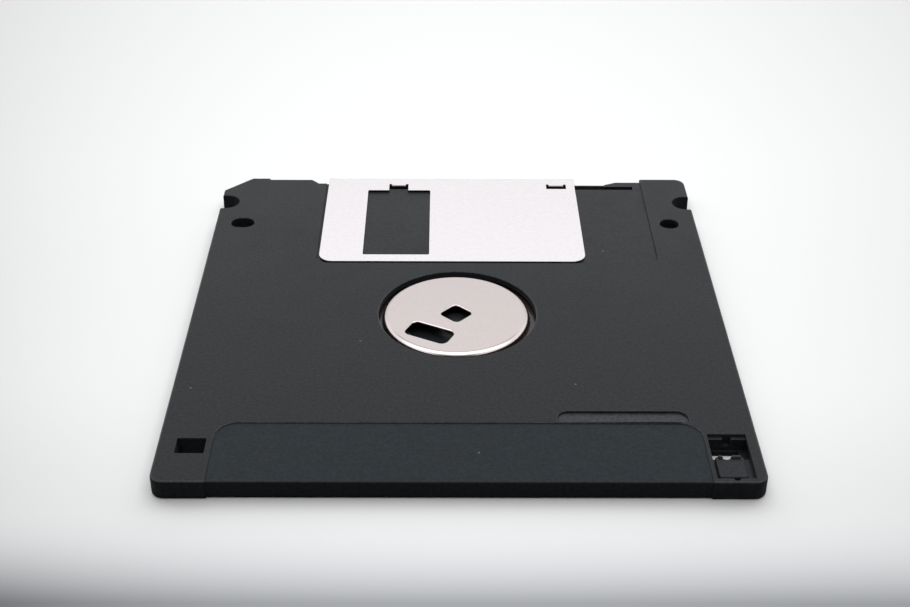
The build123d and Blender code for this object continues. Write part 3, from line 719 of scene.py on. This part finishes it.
@dataclass
class Hub:
    """The drawn steel cup: face, rolled rim, wall and flange, with its two punched holes."""

    wall_radius_mm: float = 12.5
    rim_radius_mm: float = 1.0
    foot_radius_mm: float = 0.25
    sheet_mm: float = 0.3
    steps: int = 160
    rim_steps: int = 10
    foot_steps: int = 4
    spindle_hole_mm: float = 4.1
    spindle_corner_mm: float = 0.85
    spindle_turn: float = 47.0
    drive_hole_mm: tuple[float, float] = (7.8, 4.2)
    drive_corner_mm: float = 1.1
    drive_inset_mm: float = 5.12
    drive_angle: float = -127.57
    drive_turn: float = -27.0
    punched_edge_mm: float = 0.2
    punched_land_mm: float = 0.006
    punched_steps: int = 4
    corner_segments: int = 7

    def build(self) -> bpy.types.Object:
        """Turn the cup, give it its thickness and punch its holes.

        Returns:
            The hub.
        """
        low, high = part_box("hub")
        centre = ((low.x + high.x) / 2, (low.y + high.y) / 2)
        flange_radius = (high.x - low.x) / 2
        sheet = self.sheet_mm * MM
        wall, rim, foot = (r * MM for r in (self.wall_radius_mm, self.rim_radius_mm, self.foot_radius_mm))
        flange_z = low.z + sheet
        section = [(0.0, high.z)]
        section += arc((wall - rim, high.z - rim), rim, 90, 0, self.rim_steps)
        section += arc((wall + foot, flange_z + foot), foot, 180, 270, self.foot_steps)
        section.append((flange_radius, flange_z))
        cup = turned("hub_cup", section, centre, self.steps)
        apply_modifier(cup, "SOLIDIFY", thickness=sheet, offset=-1.0, use_even_offset=True)
        square = (self.spindle_hole_mm, self.spindle_hole_mm)
        cut_out(cup, self.punch(square, self.spindle_corner_mm, centre, self.spindle_turn, high.z))
        direction = math.radians(self.drive_angle)
        reach = (self.wall_radius_mm - self.drive_inset_mm) * MM
        drive = (centre[0] + reach * math.cos(direction), centre[1] + reach * math.sin(direction))
        cut_out(cup, self.punch(self.drive_hole_mm, self.drive_corner_mm, drive, self.drive_turn, high.z))
        smooth(cup)
        apply_modifier(cup, "WEIGHTED_NORMAL", mode="FACE_AREA", weight=100, keep_sharp=True)
        HUB_STEEL.dress(cup)
        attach(cup, Body.DISK.value)
        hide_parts("hub")
        return cup

    def punch(
        self,
        size_mm: tuple[float, float],
        corner_mm: float,
        place: tuple[float, float],
        turn: float,
        face_z: float,
    ) -> bpy.types.Object:
        """Make the form of a punched hole, whose edge rolls in from just below the face.

        Args:
            size_mm: Length and width of the hole.
            corner_mm: Radius of its corners.
            place: X and Y of its centre.
            turn: Degrees that its length is turned from X.
            face_z: Height of the hub's face.

        Returns:
            The closed form to cut.
        """
        edge = self.punched_edge_mm * MM
        above = 4 * edge
        bpy.ops.object.select_all(action="DESELECT")
        bpy.ops.mesh.primitive_plane_add(size=1.0, location=(0.0, 0.0, 0.0))
        form = bpy.context.object
        form.scale = (size_mm[0] * MM + 2 * edge, size_mm[1] * MM + 2 * edge, 1.0)
        bpy.ops.object.transform_apply(location=True, rotation=True, scale=True)
        bpy.ops.object.mode_set(mode="EDIT")
        bpy.ops.mesh.select_all(action="SELECT")
        bpy.ops.mesh.bevel(offset=corner_mm * MM + edge, affect="VERTICES", segments=self.corner_segments)
        bpy.ops.mesh.select_mode(type="FACE")
        bpy.ops.mesh.select_all(action="SELECT")
        bpy.ops.mesh.extrude_region_move(TRANSFORM_OT_translate={"value": (0.0, 0.0, -above)})
        for step in range(self.punched_steps):
            before = math.pi / 2 * step / self.punched_steps
            after = math.pi / 2 * (step + 1) / self.punched_steps
            inwards = edge * (math.sin(after) - math.sin(before))
            down = edge * (math.cos(before) - math.cos(after))
            bpy.ops.mesh.inset(thickness=inwards, depth=0.0)
            bpy.ops.transform.translate(value=(0.0, 0.0, -down))
        through = (0.0, 0.0, -2 * self.sheet_mm * MM)
        bpy.ops.mesh.extrude_region_move(TRANSFORM_OT_translate={"value": through})
        bpy.ops.mesh.select_all(action="SELECT")
        bpy.ops.mesh.normals_make_consistent(inside=False)
        bpy.ops.object.mode_set(mode="OBJECT")
        form.location = (place[0], place[1], face_z + above - self.punched_land_mm * MM)
        form.rotation_euler = (0.0, 0.0, math.radians(turn))
        choose(form)
        bpy.ops.object.transform_apply(location=True, rotation=True, scale=True)
        return form


@dataclass
class WipeLiner:
    """One ring of fabric that wipes a face of the film, laid in its shell and cut open for the heads."""

    node: str
    hole_radius_mm: float
    lifted: bool = False
    thickness_mm: float = 0.25
    slot_width_mm: float = 11.2
    slot_start_y_mm: float = 15.8
    rings: int = 22
    steps: int = 150
    wave_mm: float = 0.02
    wave_length_mm: float = 6.5
    cross_wave: float = 0.83
    slant_wave: float = 0.41
    slant_share: float = 0.5
    smooth_degrees: float = 50.0
    ramp_mm: float = 2.4
    centre_y_mm: float = -1.8

    def build(self) -> bpy.types.Object:
        """Lay the ring, let it ripple and rise over its leaf, and cut it.

        Returns:
            The liner.
        """
        low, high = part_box(self.node)
        outer = (high.x - low.x) / 2
        hole = self.hole_radius_mm * MM
        thickness = self.thickness_mm * MM
        bed_z = low.z + thickness / 2
        centre_y = self.centre_y_mm * MM
        section = [(hole + (outer - hole) * ring / self.rings, bed_z) for ring in range(self.rings + 1)]
        cloth = turned(f"{self.node}_cloth", section, (0.0, centre_y), self.steps)
        for vertex in cloth.data.vertices:
            vertex.co.z += self.ripple(vertex.co) + self.rise(vertex.co)
        apply_modifier(cloth, "SOLIDIFY", thickness=thickness - 2 * self.wave_mm * MM, offset=0.0)
        bpy.ops.object.select_all(action="DESELECT")
        slot_y = self.slot_start_y_mm * MM + outer
        bpy.ops.mesh.primitive_cube_add(size=1.0, location=(0.0, slot_y, bed_z))
        window = bpy.context.object
        window.scale = (self.slot_width_mm * MM, 2 * outer, 10 * thickness)
        bpy.ops.object.transform_apply(location=True, rotation=True, scale=True)
        cut_out(cloth, window)
        smooth(cloth, self.smooth_degrees)
        LINER_FABRIC.dress(cloth)
        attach(cloth, Body.CASE.value)
        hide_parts(self.node)
        return cloth

    def ripple(self, point: Vector) -> float:
        """Work out the slight waves that the fabric keeps from its roll.

        Args:
            point: A place on the flat cloth.

        Returns:
            How far it lies above or below its bed.
        """
        turn = math.tau / (self.wave_length_mm * MM)
        wave = math.sin(point.x * turn) * math.cos(point.y * turn * self.cross_wave)
        wave += self.slant_share * math.sin((point.x + point.y) * turn * self.slant_wave)
        return self.wave_mm * MM * wave / (1 + self.slant_share)

    def rise(self, point: Vector) -> float:
        """Work out how far the leaf below lifts the fabric.

        Args:
            point: A place on the flat cloth.

        Returns:
            The height, 0 away from the leaf.
        """
        if not self.lifted:
            return 0.0
        low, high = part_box("liner_lifter")
        ramp = self.ramp_mm * MM
        beyond_x = max(low.x - point.x, point.x - high.x, 0.0)
        beyond_y = max(low.y - point.y, point.y - high.y, 0.0)
        share = max(0.0, 1 - math.hypot(beyond_x, beyond_y) / ramp)
        return (high.z - low.z) * share * share * (3 - 2 * share)


@dataclass
class ShutterSpring:
    """The loose torsion spring: a coil of round wire and two legs, between a post and the shutter."""

    wire_mm: float = 0.18
    coil_radius_mm: float = 1.5
    coil_pitch_mm: float = 0.42
    extra_turns: int = 1
    steps_each_turn: int = 40
    anchor_y_mm: float = 43.2
    drop_mm: float = 5.5
    hook_mm: float = 1.0
    round_steps: int = 3
    smooth_degrees: float = 50.0

    def build(self) -> bpy.types.Object:
        """Bend the wire and let it stretch between the case and the shutter.

        Returns:
            The spring.
        """
        low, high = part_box("shutter_spring")
        wire, radius = self.wire_mm * MM, self.coil_radius_mm * MM
        anchor = Vector((high.x - wire, self.anchor_y_mm * MM))
        hook = Vector((low.x + wire, high.y - wire))
        coil = (anchor + hook) / 2 - Vector((0.0, self.drop_mm * MM))
        to_anchor, to_hook = anchor - coil, hook - coil
        angle_in = math.atan2(to_anchor.y, to_anchor.x) - math.acos(radius / to_anchor.length)
        angle_out = math.atan2(to_hook.y, to_hook.x) + math.acos(radius / to_hook.length)
        turns = (angle_in - angle_out) / math.tau + 1 + self.extra_turns
        steps = round(turns * self.steps_each_turn)
        base_z = low.z + wire
        end_z = base_z + self.coil_pitch_mm * MM * turns
        points = [(*anchor, base_z + self.hook_mm * MM), (*anchor, base_z)]
        for step in range(steps + 1):
            angle = angle_in - math.tau * turns * step / steps
            rise = (end_z - base_z) * step / steps
            x, y = coil.x + radius * math.cos(angle), coil.y + radius * math.sin(angle)
            points.append((x, y, base_z + rise))
        points += [(*hook, end_z), (*hook, high.z)]

        line = bpy.data.curves.new("shutter_spring_wire", "CURVE")
        line.dimensions = "3D"
        line.bevel_depth = wire
        line.bevel_resolution = self.round_steps
        line.use_fill_caps = True
        run = line.splines.new("POLY")
        run.points.add(len(points) - 1)
        for target, point in zip(run.points, points):
            target.co = (*point, 1.0)
        spring = bpy.data.objects.new("shutter_spring_wire", line)
        bpy.context.scene.collection.objects.link(spring)
        choose(spring)
        bpy.ops.object.convert(target="MESH")
        spring = bpy.context.object
        smooth(spring, self.smooth_degrees)
        SPRING_WIRE.dress(spring)
        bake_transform(spring)
        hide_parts("shutter_spring")
        return spring


@dataclass
class PhotoCamera:
    """The camera, at the photograph's place and viewing angle."""

    focal_px: float = 1484.44
    width_px: int = 910
    sensor_mm: float = 36.0
    place_mm: tuple[float, float, float] = (-2.422, -213.860, 139.968)
    depression: float = 32.465
    yaw: float = 0.5423
    roll: float = 0.4337
    clip_m: tuple[float, float] = (0.01, 20.0)

    def build(self) -> None:
        """Place the camera and make it the scene's."""
        depression, yaw, roll = (math.radians(a) for a in (self.depression, self.yaw, self.roll))
        flat = math.cos(depression)
        ahead = Vector((math.sin(yaw) * flat, math.cos(yaw) * flat, -math.sin(depression)))
        right = ahead.cross(Vector((0, 0, 1))).normalized()
        up = right.cross(ahead)
        turned_right = right * math.cos(roll) + up * math.sin(roll)
        turned_up = up * math.cos(roll) - right * math.sin(roll)
        data = bpy.data.cameras.new("photo_camera")
        data.sensor_width = self.sensor_mm
        data.lens = self.focal_px * self.sensor_mm / self.width_px
        data.clip_start, data.clip_end = self.clip_m
        camera = bpy.data.objects.new("photo_camera", data)
        bpy.context.scene.collection.objects.link(camera)
        rotation = Matrix((turned_right, turned_up, -ahead)).transposed()
        camera.matrix_world = Matrix.Translation(Vector(self.place_mm) * MM) @ rotation.to_4x4()
        bpy.context.scene.camera = camera


@dataclass
class PaperFloor:
    """Matt white paper with a painted pool of light: the camera sees it greyer towards its near edge and its
    sides.

    Each reach is a pair of places along Y in metres, and a pair of losses or shades goes with it.
    """

    size_m: float = 6.0
    roughness: float = 0.8
    specular: float = 0.1
    colour: str = "#fefffe"
    front_colour: str = "#f7fafe"
    shade: float = 0.92
    pool_half_width_m: float = 0.07837
    pool_widening: float = 0.2587
    pool_narrowest_m: float = 0.05
    pool_reach: float = 1.2
    left_and_right: tuple[float, float] = (-1.0, 1.0)
    side_losses: tuple[float, float] = (0.2, 0.15)
    corner_losses: tuple[float, float] = (0.33, 0.0)
    front_reach: tuple[float, float] = (-0.05, -0.0683)
    front_power: float = 2.5
    front_loss: float = 0.49
    near_reach: tuple[float, float] = (-0.015, -0.055)
    near_shades: tuple[float, float] = (1.0, 0.9)
    frame_reach: tuple[float, float] = (-0.14, -0.07)
    far_reach: tuple[float, float] = (0.06, 0.15)
    far_shade: float = 0.93
    unseen_reach: tuple[float, float] = (0.0, 0.3)
    unseen_shades: tuple[float, float] = (0.15, 0.6)

    def build(self) -> None:
        """Lay the paper."""
        bpy.ops.object.select_all(action="DESELECT")
        bpy.ops.mesh.primitive_plane_add(size=self.size_m, location=(0, 0, 0))
        floor = bpy.context.object
        floor.name = "studio_floor"
        paper = bpy.data.materials.new("matt_white_paper")
        paper.use_nodes = True
        shader = paper.node_tree.nodes["Principled BSDF"]
        shader.inputs["Roughness"].default_value = self.roughness
        shader.inputs["Specular IOR Level"].default_value = self.specular
        feed(paper.node_tree, shader, self.tone())
        floor.data.materials.append(paper)

    def tone(self) -> list[NodeRow]:
        """Table of the nodes that darken the paper as the photograph's light does.

        Returns:
            The table, in the order in which the nodes are added.
        """
        half_width = {**TIMES_PLUS, 1: self.pool_widening, 2: self.pool_half_width_m}
        near = {**SOFTLY, **graded(self.near_reach, self.near_shades)}
        far = graded(self.far_reach, (self.shade, self.far_shade * self.shade))
        corner = {0: "front_squared.Value", 1: "lean.Result", 2: "loss.Result"}
        cool = {**COLOURS, "A": linear(self.colour), "B": linear(self.front_colour)}
        by_ray = {"Factor": "rays.Is Camera Ray", "A": "unseen.Result", "B": "seen.Vector"}
        return [
            ("place", COORDINATES, {}, {}),
            ("axes", AXES, {}, ON_PIECE),
            # Dimmer to the sides, over a pool of light that is narrower towards the front
            ("half_width", MATH, half_width, {0: "axes.Y"}),
            ("wide", MATH, {**LARGER, 1: self.pool_narrowest_m}, {0: "half_width.Value"}),
            ("aside", MATH, {"operation": "DIVIDE"}, {0: "axes.X", 1: "wide.Value"}),
            ("away", MATH, UNSIGNED, {0: "aside.Value"}),
            ("in_reach", MATH, {"operation": "MINIMUM", 1: self.pool_reach}, {0: "away.Value"}),
            ("squared", MATH, {"operation": "POWER", 1: 2.0}, {0: "in_reach.Value"}),
            ("loss", RANGE, graded(self.left_and_right, self.side_losses), {"Value": "aside.Value"}),
            # Dimmer to the front, faster and faster, and most so in the left corner
            ("front", RANGE, graded(self.front_reach), {"Value": "axes.Y"}),
            ("front_curve", MATH, {"operation": "POWER", 1: self.front_power}, {0: "front.Result"}),
            ("near", RANGE, near, {"Value": "axes.Y"}),
            ("lean", RANGE, graded(self.left_and_right, self.corner_losses), {"Value": "aside.Value"}),
            ("front_squared", MATH, {"operation": "POWER", 1: 2.0}, {0: "front.Result"}),
            ("corner", MATH, TIMES_PLUS, corner),
            # Both losses end softly in front of the photograph's frame, where the paper is pale again
            ("framed", RANGE, {**SOFTLY, **graded(self.frame_reach)}, {"Value": "axes.Y"}),
            ("full_side_loss", MATH, TIMES, {0: "squared.Value", 1: "corner.Value"}),
            ("side_loss", MATH, TIMES, {0: "full_side_loss.Value", 1: "framed.Result"}),
            ("framed_curve", MATH, TIMES, {0: "front_curve.Value", 1: "framed.Result"}),
            ("ahead", MATH, {**TIMES_PLUS, 1: -self.front_loss}, {0: "framed_curve.Value", 2: "near.Result"}),
            ("side", MATH, {"operation": "SUBTRACT", 0: 1.0}, {1: "side_loss.Value"}),
            ("far", RANGE, far, {"Value": "axes.Y"}),
            ("depth", MATH, TIMES, {0: "ahead.Value", 1: "far.Result"}),
            ("pool", MATH, {**TIMES, "use_clamp": True}, {0: "side.Value", 1: "depth.Value"}),
            ("cool", MIX, cool, {"Factor": "front.Result"}),
            ("seen", VECTOR_MATH, {"operation": "SCALE"}, {0: "cool.Result", "Scale": "pool.Value"}),
            # Other rays see the paper darker: painted shade that keeps the light it throws back low
            ("unseen", RANGE, graded(self.unseen_reach, self.unseen_shades), {"Value": "axes.Y"}),
            ("rays", "ShaderNodeLightPath", {}, {}),
            ("Base Color", MIX, COLOURS, by_ray),
        ]


@dataclass
class StudioRoom:
    """A pale backdrop low behind the disk, pale side walls, and a wide softbox overhead.

    Each reach is a pair of coordinates of a direction of length 1, with Z up and Y to the back.
    """

    colour: str = "#fdfdff"
    dark_strength: float = 0.02
    backdrop_strength: float = 1.2
    backdrop_diffuse: float = 2.01
    backdrop_reach_y: tuple[float, float] = (0.1, 0.65)
    backdrop_top_z: tuple[float, float] = (0.62, 0.78)
    backdrop_top_shades: tuple[float, float] = (1.0, 0.25)
    backdrop_foot_z: tuple[float, float] = (0.42, 0.6)
    backdrop_foot_shades: tuple[float, float] = (0.74, 1.0)
    wall_reach_x: tuple[float, float] = (0.3, 0.55)
    wall_foot_z: tuple[float, float] = (0.1, 0.3)
    wall_strength: float = 1.05
    mirrored_reach_z: tuple[float, float] = (0.66, 0.8)
    mirrored_softbox: float = 0.7
    middle_reach: tuple[float, float] = (0.52, 0.38)
    middle_narrowing: float = 0.55
    mirrored_middle: float = 2.0
    softbox_m: tuple[float, float] = (1.3, 1.68)
    softbox_place_m: tuple[float, float, float] = (0.1, 0.09, 1.0)
    softbox_watts: float = 12.0

    def build(self) -> None:
        """Light the room and hang the softbox."""
        world = bpy.data.worlds.new("studio_room")
        bpy.context.scene.world = world
        world.use_nodes = True
        background = world.node_tree.nodes["Background"]
        background.inputs["Color"].default_value = linear(self.colour)
        feed(world.node_tree, background, self.light())
        data = bpy.data.lights.new("softbox", "AREA")
        data.shape = "RECTANGLE"
        data.size, data.size_y = self.softbox_m
        data.energy = self.softbox_watts
        lamp = bpy.data.objects.new("softbox", data)
        bpy.context.scene.collection.objects.link(lamp)
        lamp.location = self.softbox_place_m
        lamp.visible_glossy = False

    def light(self) -> list[NodeRow]:
        """Table of the nodes that give the room's light from each direction.

        Returns:
            The table, in the order in which the nodes are added.
        """
        top = {**SOFTLY, **graded(self.backdrop_top_z, self.backdrop_top_shades)}
        foot = graded(self.backdrop_foot_z, self.backdrop_foot_shades)
        walls = {**SOFTLY, **graded(self.wall_reach_x, (0.0, self.wall_strength))}
        overhead = {**SOFTLY, **graded(self.mirrored_reach_z, (0.0, self.mirrored_softbox))}
        squeezed = {**TIMES, 1: (self.middle_narrowing, 1.0, 0.0)}
        middle = {**SOFTLY, **graded(self.middle_reach, (0.0, self.mirrored_middle))}
        room = {**TIMES_PLUS, 1: self.backdrop_strength, 2: self.dark_strength}
        as_light = {**TIMES, 1: self.backdrop_strength * self.backdrop_diffuse}
        by_ray = {"Factor": "rays.Is Diffuse Ray", "A": "room.Value", "B": "as_light.Value"}
        return [
            ("place", COORDINATES, {}, {}),
            ("axes", AXES, {}, {"Vector": "place.Generated"}),
            ("behind", RANGE, {**SOFTLY, **graded(self.backdrop_reach_y)}, {"Value": "axes.Y"}),
            ("low", RANGE, top, {"Value": "axes.Z"}),
            ("rising", RANGE, foot, {"Value": "axes.Z"}),
            ("band", MATH, TIMES, {0: "rising.Result", 1: "low.Result"}),
            ("backdrop", MATH, TIMES, {0: "behind.Result", 1: "band.Value"}),
            # Pale side walls, which light the rolled rim of the hub from the left and the right
            ("aside", MATH, UNSIGNED, {0: "axes.X"}),
            ("walls", RANGE, walls, {"Value": "aside.Value"}),
            ("risen", RANGE, {**SOFTLY, **graded(self.wall_foot_z)}, {"Value": "axes.Z"}),
            ("sides", MATH, TIMES, {0: "walls.Result", 1: "risen.Result"}),
            ("walled", MATH, LARGER, {0: "backdrop.Value", 1: "sides.Value"}),
            # The softbox as metal mirrors it: bright in the middle, for the rim and the punched
            # edges, and paler round it, where flat metal keeps its brushing in view
            ("overhead", RANGE, overhead, {"Value": "axes.Z"}),
            ("squeezed", VECTOR_MATH, squeezed, {0: "place.Generated"}),
            ("off_zenith", VECTOR_MATH, {"operation": "LENGTH"}, {0: "squeezed.Vector"}),
            ("middle", RANGE, middle, {"Value": "off_zenith.Value"}),
            ("lamp", MATH, LARGER, {0: "overhead.Result", 1: "middle.Result"}),
            ("paler", MATH, LARGER, {0: "walled.Value", 1: "lamp.Value"}),
            ("room", MATH, room, {0: "paler.Value"}),
            # The backdrop lights the paper from behind, so the case throws a short shadow to the front
            ("as_light", MATH, as_light, {0: "backdrop.Value"}),
            ("rays", "ShaderNodeLightPath", {}, {}),
            ("lit", MIX, {"data_type": "FLOAT"}, by_ray),
            ("Strength", MATH, LARGER, {0: "lit.Result", 1: "rays.Is Camera Ray"}),
        ]


def main() -> None:
    """Build the scene and report each piece."""
    logging.basicConfig(level=logging.INFO, format="%(message)s")
    bpy.context.scene.view_settings.view_transform = "Standard"
    for setting in (PhotoCamera(), PaperFloor(), StudioRoom()):
        setting.build()
    shell, pressed = MouldedShell, MouldedOrPressedPiece
    for piece in (
        shell("hub_side_shell", Body.CASE, Slot.CASE_PLASTIC, CASE_PLASTIC, 0.05),
        shell("label_side_shell", Body.CASE, Slot.CASE_PLASTIC, CASE_PLASTIC, 0.05),
        pressed("shutter", Body.SHUTTER, Slot.SHUTTER_METAL, SHUTTER_METAL, 0.08),
        pressed("write_protect_slider", Body.SLIDER, Slot.SLIDER_PLASTIC, SLIDER_PLASTIC, 0.06),
        Hub(),
        WipeLiner("hub_side_liner", hole_radius_mm=14.92),
        WipeLiner("label_side_liner", hole_radius_mm=17.0, lifted=True),
        ShutterSpring(),
    ):
        log.info("%s built", piece.build().name)
    plain = {"hub_adhesive_ring": ADHESIVE, "magnetic_disk": MAGNETIC_FILM, "liner_lifter": LEAF_FILM}
    for node, finish in plain.items():
        finish.dress(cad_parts[node])
        log.info("%s dressed", node)


if __name__ == "__main__":
    main()
